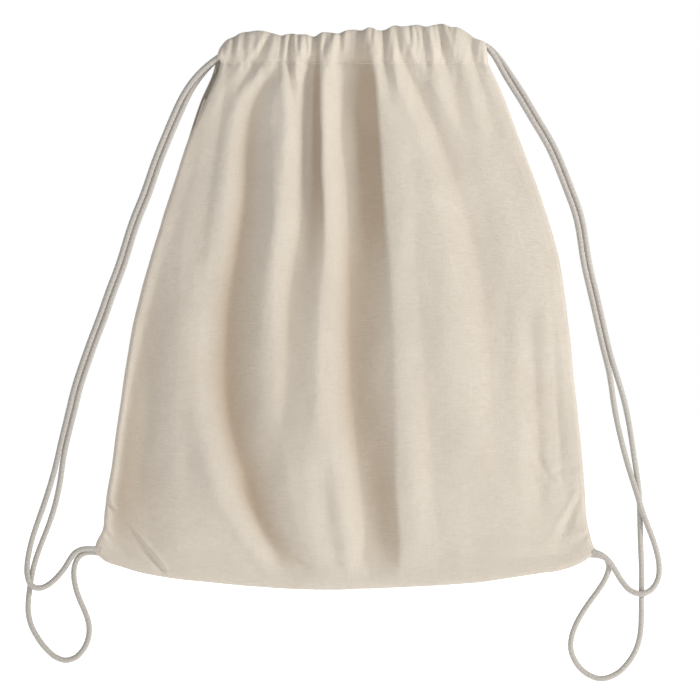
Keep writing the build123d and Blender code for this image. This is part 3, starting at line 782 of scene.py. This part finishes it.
# ---------------------------------------------------------------- the two cloth panels
panels = {"front": sheet(-1, FRONT_FOLDS, belly=13.5, lip=9.6, inset=4.6, seed=101),
          "back": sheet(1, BACK_FOLDS, belly=8.0, lip=8.5, inset=0.0, seed=411)}
for face, panel in panels.items():
    for side, columns in (("left", slice(0, MIDDLE + 1)), ("right", slice(MIDDLE, None))):
        cloth = place(thick_sheet(f"{face}_cloth_{side}", panel, columns), cotton, "cloth")
        turn(cloth, side)
        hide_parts(f"{face}_panel", f"{face}_casing")


# ---------------------------------------------------------------- cord building
def smooth_path(points, gap=0.75):
    """A smoothed curve along the points, resampled evenly about every `gap` mm."""
    path = np.array(points, float)
    for _ in range(2):
        # smoothed, then swelled back, so that tight bends keep their size
        for amount in (0.50, -0.52):
            moved = path.copy()
            moved[1:-1] += amount * (0.5 * (path[:-2] + path[2:]) - path[1:-1])
            path = moved
    along = lengths(path)
    at = np.linspace(0, along[-1], max(int(along[-1] / gap), 8))
    return np.stack([curve(np.c_[along, path[:, k]], at) for k in range(3)], axis=-1)


def braid(path, radius=CORD_RADIUS):
    """Rings of a braided round cord along a path, with their uv and groove depth, which the cord's
    material paints as shade in the grooves.
    """
    around, pitch, depth = 20, 7.0, 0.11        # points in a ring, braid length, groove depth
    tangents = unit(np.gradient(path, axis=0))
    across = np.zeros_like(path)
    carried = np.array([0.0, 1.0, 0.0])
    if abs(tangents[0] @ carried) > 0.9:
        carried = np.array([0.0, 0.0, 1.0])
    for i, tangent in enumerate(tangents):
        carried = carried - tangent * (carried @ tangent)
        carried /= np.linalg.norm(carried)
        across[i] = carried
    other = np.cross(tangents, across)
    along = lengths(path)[:, None]
    angle = np.arange(around)[None, :] * 2 * math.pi / around
    twist = 2 * math.pi * along / pitch
    pattern = np.cos(angle * 4 + twist) * np.cos(angle * 4 - twist)
    reach = radius * (1 - depth / radius + depth / radius * pattern)
    direction = (np.cos(angle)[..., None] * across[:, None, :]
                 + np.sin(angle)[..., None] * other[:, None, :])
    uv = np.stack([np.broadcast_to(angle / (2 * math.pi) * 0.0125, reach.shape),
                   np.broadcast_to(along * MM, reach.shape)], axis=-1)
    return {"points": path[:, None, :] + direction * reach[..., None], "uv": uv,
            # shade: the groove depth, painted as shade between the strands
            "shade": (1 - pattern) / 2, "path": path, "tangents": tangents}


def cord_piece(name, rings, first, last):
    """A closed length of cord from ring first up to ring last, with domed ends."""
    part = {key: value[first:last] for key, value in rings.items()}
    points, path, tangents = part["points"], part["path"], part["tangents"]
    dome_height = CORD_RADIUS * 0.9

    def dome(end, outward):
        """Two narrowing rings beyond an end."""
        return [path[end] + (points[end] - path[end]) * narrow + outward * dome_height * height
                for narrow, height in ((0.86, 0.5), (0.5, 0.86))]

    rows = np.concatenate([dome(0, -tangents[0])[::-1], points, dome(-1, tangents[-1])])
    uv = np.pad(part["uv"], ((2, 2), (0, 0), (0, 0)), mode="edge")
    shade = np.pad(part["shade"], ((2, 2), (0, 0)), mode="edge")
    count, around = rows.shape[:2]
    i = np.arange(count * around).reshape(count, around)
    beside = np.roll(i, -1, axis=1)
    faces = np.stack([i[:-1], beside[:-1], beside[1:], i[1:]], axis=-1).reshape(-1, 4).tolist()
    tip = count * around
    top = tip - around
    for j in range(around):
        k = (j + 1) % around
        faces.append((k, j, tip))
        faces.append((top + j, top + k, tip + 1))
    verts = np.concatenate([rows.reshape(-1, 3), [path[0] - tangents[0] * dome_height,
                                                  path[-1] + tangents[-1] * dome_height]]) * MM
    mesh = mixed_mesh(name, verts, faces,
                      np.concatenate([uv.reshape(-1, 2), uv[0, :1], uv[-1, :1]]),
                      np.concatenate([shade.ravel(), [0.5, 0.5]]))
    return place(mesh, rope_mat, "cord")


def offset_line(line, shift):
    """The line moved sideways by shift mm, easing in over the first few points."""
    points = np.array(line, float)
    tangents = unit(np.gradient(points, axis=0))
    sideways = np.stack([tangents[:, 1], -tangents[:, 0]], axis=1)
    ease = np.clip((np.arange(len(points)) + 0.6) / 4.0, 0, 1)[:, None]
    return points + sideways * shift * ease


def tunnel(points, height, drop):
    """The middle line of a hem's tunnel at one height, following its pleats. At the left end,
    where the hem slopes down, the line drops a little."""
    hem = points[PANEL_ROWS - 1:]
    top = int(np.argmax(hem[:, MIDDLE, 2]))
    line = []
    for column in range(COLUMNS):
        outer, inner = hem[:top + 1, column], hem[top:, column][::-1]
        level = height - drop * float(step(-72.0, -96.0, points[PANEL_ROWS + 6, column, 0]))
        x, outer_y = (np.interp(level, outer[:, 2], outer[:, k]) for k in (0, 1))
        inner_y = np.interp(level, inner[:, 2], inner[:, 1])
        line.append((x, (outer_y + inner_y) / 2, level))
    return np.array(line)


def keep_clear(path, points):
    """The path moved in y away from the hem's cloth. Where both layers are too near, it ends
    up midway."""
    room = RUN_RADIUS + CLOTH / 2 + 0.15
    rows = points[PANEL_ROWS - 4:].reshape(-1, 3)
    path = path.copy()
    near = rows[(rows[:, 2] > path[:, 2].min() - 6) & (rows[:, 2] < path[:, 2].max() + 6)]
    for _ in range(14):
        push = np.zeros(len(path))
        for i, point in enumerate(path):
            away = point - near[np.abs(near[:, 0] - point[0]) < room + 1.0]
            for layer in (away[away[:, 1] > 0], away[away[:, 1] <= 0]):
                if len(layer):
                    gaps = np.linalg.norm(layer, axis=1)
                    k = int(np.argmin(gaps))
                    if gaps[k] < room:
                        push[i] += np.sign(layer[k, 1]) * (room - gaps[k]) * 0.5
        path[:, 1] += push
        path[1:-1, 1] = 0.2 * path[:-2, 1] + 0.6 * path[1:-1, 1] + 0.2 * path[2:, 1]
    return path


def casing_run(outward, height, drop):
    """A cord's run in both tunnels: in at its exit side along the front, round the far end and
    out along the back. Also gives the two points where it leaves, front and back."""
    front, back = (tunnel(panels[face]["points"], height, drop)[::outward]
                   for face in ("front", "back"))          # from the far end to the exit
    far_front, far_back = front[0], back[0]
    end = outward * min(outward * far_front[0], outward * far_back[0])
    reach = outward * 1.4
    bight = [(end + reach * 1.6, far_front[1] * 0.75, far_front[2]),
             (end + reach, (far_front[1] + far_back[1]) / 2, far_front[2]),
             (end + reach * 1.6, far_back[1] * 0.75, far_back[2])]
    front, back = (line[np.abs(line[:, 0] - end) > 4.0] for line in (front, back))
    points = np.concatenate([keep_clear(front[::-1][::2], panels["front"]["points"]), bight,
                             keep_clear(back[::2], panels["back"]["points"])])
    return points, {-1: front[-1], 1: back[-1]}


def strand_points(cord, low, face, entry):
    """All of one strand, from the casing to the corner, as (x, y, z). face is -1 for the strand
    that lies in front and 1 for the one behind."""
    line = np.concatenate([offset_line(cord["pair"], -face * cord["shift"]), np.array(low)])
    at = np.arange(len(line))
    parting = len(cord["pair"])
    y = entry[1] * np.clip(1 - (at + 0.5) / 6, 0, None) ** 1.3
    y += face * cord["lie"] * step(0, 7, at) * (1 - step(parting - 2, parting + 5, at))
    for (x, z), reach, depth in cord["crossings"]:
        distance = np.abs(line[:, 1] - z) + 0.6 * np.abs(line[:, 0] - x)
        y += face * depth * np.exp(-(distance / reach) ** 2)
    return np.concatenate([[entry], np.stack([line[:, 0], y, line[:, 1]], axis=-1)])


# ---------------------------------------------------------------- cords
# shift: sideways offset of each strand from the pair's line
# lie: how far each lies in front of or behind the middle plane along the pair
# crossings: ((x, height), reach, depth) where the strands pass in front of one another
# height, drop: level of the cord in its tunnels, and its drop at their left end
# exit: blend from the gathered side to the strap, in metres
CORDS = {
    "left": {"outward": -1, "height": 404.8, "drop": 1.8,
             "pair": LEFT_PAIR, "shift": 2.10, "lie": 1.0,
             "crossings": [((-242.2, 5.3), 12.0, 2.35), ((-203.0, 28.0), 9.0, 1.7)],
             "exit": ((-0.100, 0, 0.402), (-0.125, 0, 0.373))},
    "right": {"outward": 1, "height": 411.4, "drop": 4.2,
              "pair": RIGHT_PAIR, "shift": 2.15, "lie": 0.9,
              "crossings": [((219.3, 64.0), 24.0, 2.35), ((220.7, -3.4), 12.0, 2.35),
                            ((195.0, 24.0), 10.0, 1.7)],
              "exit": ((0.102, 0, 0.409), (0.1245, 0, 0.382))},
}
# side, strand, its lower part, centre line of the lower part, -1 in front or 1 behind
STRANDS = [
    ("left", "left_cord_outer", "left_cord_outer_tail", LEFT_TAIL, -1),
    ("left", "left_cord_inner", "left_cord_hanging_loop", LEFT_LOOP, 1),
    ("right", "right_cord_inner", "right_cord_outer_tail", RIGHT_TAIL, -1),
    ("right", "right_cord_outer", "right_cord_hanging_loop", RIGHT_LOOP, 1),
]
STRAP_FOOT = 44.0       # height where a strand is cut into an upper and a lower piece

runs = {side: casing_run(cord["outward"], cord["height"], cord["drop"])
        for side, cord in CORDS.items()}
for side, name, low_name, low_line, face in STRANDS:
    entry = runs[side][1][face]
    rings = braid(smooth_path(strand_points(CORDS[side], low_line, face, entry)))
    cut = int(np.argmax(rings["path"][:, 2] < STRAP_FOOT))
    exit_start, exit_end = CORDS[side]["exit"]
    upper = cord_piece(f"{name}_strand_braid", rings, 0, cut + 1)
    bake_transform(upper)
    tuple(exit_start)
    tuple(exit_end)
    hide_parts(f"{name}_strand")
    lower = cord_piece(f"{low_name}_braid", rings, cut, None)
    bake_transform(lower)
    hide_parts(low_name)

for side, away in (("left", "right"), ("right", "left")):
    rings = braid(smooth_path(runs[side][0], gap=1.1), radius=RUN_RADIUS)
    x = rings["path"][:, 0]
    # cut where the run passes the middle of the mouth, once in each casing
    cuts = [i for i in range(1, len(x)) if x[i - 1] * x[i] <= 0]
    pieces = [(cord_piece(f"{side}_cord_run_{part}", rings, first, last), body)
              for part, first, last, body in (("front", 0, cuts[0] + 1, side),
                                              ("bight", cuts[0], cuts[-1] + 1, away),
                                              ("back", cuts[-1], None, side))]
    for piece, body in pieces:
        turn(piece, body)
        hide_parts(f"{side}_cord_casing_run")


# ---------------------------------------------------------------- stitches
def stitches(name, segments, radius):
    """Many short thread stitches as one piece: each is a closed rounded rod."""
    around = 8
    # (part of the length, part of the radius) along a stitch
    profile = [(0.0, 0.35), (0.12, 0.8), (0.3, 1.0), (0.7, 1.0), (0.88, 0.8), (1.0, 0.35)]
    verts, faces, uvs = [], [], []
    for start, end in segments:
        start = np.array(start, float)
        along = np.array(end, float) - start
        length = np.linalg.norm(along)
        along = along / length
        helper = np.array([0, 0, 1.0]) if abs(along[2]) < 0.9 else np.array([1.0, 0, 0])
        across = unit(np.cross(along, helper))
        other = np.cross(along, across)
        base = len(verts)
        for part, wide in profile:
            for j in range(around):
                angle = 2 * math.pi * j / around
                spoke = math.cos(angle) * across + math.sin(angle) * other
                verts.append((start + along * length * part + spoke * radius * wide) * MM)
                uvs.append((j / around * 0.004, length * part * MM))
        last = base + (len(profile) - 1) * around
        for ring in range(base, last, around):
            for j in range(around):
                k = (j + 1) % around
                faces.append((ring + j, ring + k, ring + around + k, ring + around + j))
        faces.append(tuple(base + j for j in range(around))[::-1])
        faces.append(tuple(last + j for j in range(around)))
    return place(mixed_mesh(name, verts, faces, uvs, np.full(len(verts), 0.2)),
                 thread_mat, "thread")


STITCH_PITCH = 2.7
for face, panel in panels.items():
    row = PANEL_ROWS - 1
    line = panel["points"][row] + panel["normals"][row] * (CLOTH / 2 + 0.10)
    along = lengths(line)
    segments = {"left": [], "right": []}
    for i in range(int(along[-1] / STITCH_PITCH)):
        start, end = ([np.interp((i + part) * STITCH_PITCH, along, line[:, k]) for k in range(3)]
                      for part in (0.12, 0.86))
        if start[0] * end[0] > 0:       # none across the middle, where the halves meet
            segments["left" if start[0] < 0 else "right"].append((start, end))
    for side in ("left", "right"):
        stitch = stitches(f"{face}_casing_stitch_{side}", segments[side], radius=0.26)
        turn(stitch, side)
        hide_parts(f"{face}_casing_stitch")


# ---------------------------------------------------------------- seam allowances inside
def band(name, line, inward, side, node_name):
    """A folded seam allowance: a soft strip between the panels along an edge."""
    half_thickness, near, far, rows = 0.45, 1.6, 7.0, 9
    columns = len(line)
    grid = np.zeros((rows, columns, 3))
    grid[..., [0, 2]] = line + np.linspace(near, far, rows)[:, None, None] * np.array(inward)
    swell = half_thickness * np.sqrt(np.clip(1 - np.linspace(-1, 1, rows) ** 4, 0.05, 1))
    ripple = 0.12 * 0.4 * np.sin(np.arange(columns) * 0.9)[None, :]
    front, back = grid.copy(), grid.copy()
    front[..., 1] = -swell[:, None] + ripple
    back[..., 1] = swell[:, None] + ripple
    quads, rim = solid_quads(rows, columns, -1)
    verts = np.concatenate([front.reshape(-1, 3), back.reshape(-1, 3)]) * MM
    mesh = quad_mesh(name, verts, np.concatenate([quads, quads[:, ::-1] + rows * columns, rim]),
                     verts[:, [0, 2]], np.full(len(verts), 0.2))
    face_outward(mesh)
    piece = place(mesh, cotton, "cloth")
    turn(piece, side)
    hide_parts(node_name)


heights = np.linspace(42, 372, 120)
for side, edge_line, inward in (("left", LEFT_EDGE, (1.0, 0.0)), ("right", RIGHT_EDGE, (-1.0, 0.0))):
    band(f"{side}_seam_allowance", np.c_[curve(edge_line, heights), heights], inward, side,
         f"{side}_side_seam")
for side, start, end in (("left", -174, 0), ("right", 0, 168)):
    x = np.linspace(start, end, 80)
    band(f"bottom_seam_allowance_{side}", np.c_[x, curve(BOTTOM_LINE, x)], (0.0, 1.0), side,
         "bottom_seam")


# ---------------------------------------------------------------- corner bar tacks
def skin(panel, x, z):
    """y just outside a panel's cloth, near the bottom, at the grid point nearest to (x, z)."""
    rows = panel["points"][:40]
    apart = (rows[..., 0] - x) ** 2 + (rows[..., 2] - z) ** 2
    nearest = np.unravel_index(int(np.argmin(apart)), apart.shape)
    return rows[nearest][1] + panel["sign"] * (CLOTH / 2 + 0.12)


for side, inward in (("left", 1), ("right", -1)):
    corner_x, _, corner_z = (value / MM for value in corner[f"{side}_side"])
    segments = []
    for i in range(8):
        x = corner_x + inward * (2.2 + 0.62 * i)
        lean = 0.25 * math.sin(i * 1.7)
        low = max(corner_z - 3.2 + lean, float(curve(BOTTOM_LINE, x)) + 0.5)
        high = corner_z + 3.0 + lean
        if high - low < 1.5:
            continue
        for panel in panels.values():
            segments.append(((x, skin(panel, x, low), low),
                             (x + 0.35 * inward, skin(panel, x, high), high)))
    tack = stitches(f"{side}_corner_bartack", segments, radius=0.30)
    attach(tack, "bag")
    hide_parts(f"{side}_corner_tack")

# ---------------------------------------------------------------- floor
FLOOR_HALF = 12
floor_z = cad_box[0][2] - 0.006
floor_mesh = bpy.data.meshes.new("floor")
floor_mesh.from_pydata([(x * FLOOR_HALF, y * FLOOR_HALF, floor_z)
                        for x, y in ((-1, -1), (1, -1), (1, 1), (-1, 1))], [], [(0, 1, 2, 3)])
floor = link(floor_mesh)
white = Shader("floor_white", base=(0.8, 0.8, 0.8, 1), roughness=0.8, specular=0.0,
               glow=(1, 1, 1, 1), glow_strength=0.84)
floor.data.materials.append(white.material)

# ---------------------------------------------------------------- world
world = bpy.data.worlds.new("studio")
bpy.context.scene.world = world
world.use_nodes = True
nodes, links = world.node_tree.nodes, world.node_tree.links
ambient = nodes["Background"]
ambient.inputs["Color"].default_value = (0.97, 0.985, 1.0, 1)
ambient.inputs["Strength"].default_value = 0.315
# the backdrop itself reads as plain white paper
paper = nodes.new("ShaderNodeBackground")
paper.inputs["Color"].default_value = (1, 1, 1, 1)
paper.inputs["Strength"].default_value = 1.0
rays = nodes.new("ShaderNodeLightPath")
choose = nodes.new("ShaderNodeMixShader")
links.new(rays.outputs["Is Camera Ray"], choose.inputs[0])
links.new(ambient.outputs[0], choose.inputs[1])
links.new(paper.outputs[0], choose.inputs[2])
links.new(choose.outputs[0], nodes["World Output"].inputs[0])


# ---------------------------------------------------------------- lights and camera
def area(name, where, at, size, power, colour):
    light = bpy.data.lights.new(name, "AREA")
    light.energy = power
    light.size = size
    light.color = colour
    lamp = bpy.data.objects.new(name, light)
    bpy.context.scene.collection.objects.link(lamp)
    lamp.location = where
    lamp.rotation_euler = (Vector(at) - Vector(where)).to_track_quat("-Z", "Y").to_euler()


area("key", where=(1.75, -0.80, 0.95), at=(0, 0, 0.2), size=0.50, power=29.6,
     colour=(1.0, 0.985, 0.955))
area("front", where=(0.2, -2.2, 0.9), at=(0, 0, 0.2), size=1.6, power=5.6, colour=(1.0, 1.0, 1.0))
area("rear", where=(-1.2, 2.4, 1.0), at=(0, 0.05, 0.2), size=1.8, power=22.0,
     colour=(1.0, 0.99, 0.97))

CAMERA_DISTANCE = 3.0
CAMERA_HEIGHT = 0.1817
VIEW_WIDTH = 0.5299     # width seen at the middle plane
lens = bpy.data.cameras.new("camera")
lens.sensor_width = 36
lens.lens = 36 * CAMERA_DISTANCE / VIEW_WIDTH
lens.clip_end = 60
camera = bpy.data.objects.new("camera", lens)
bpy.context.scene.collection.objects.link(camera)
camera.location = (0.0, -CAMERA_DISTANCE, CAMERA_HEIGHT)
camera.rotation_euler = (math.pi / 2, 0, 0)
bpy.context.scene.camera = camera
bpy.context.scene.view_settings.view_transform = "Standard"
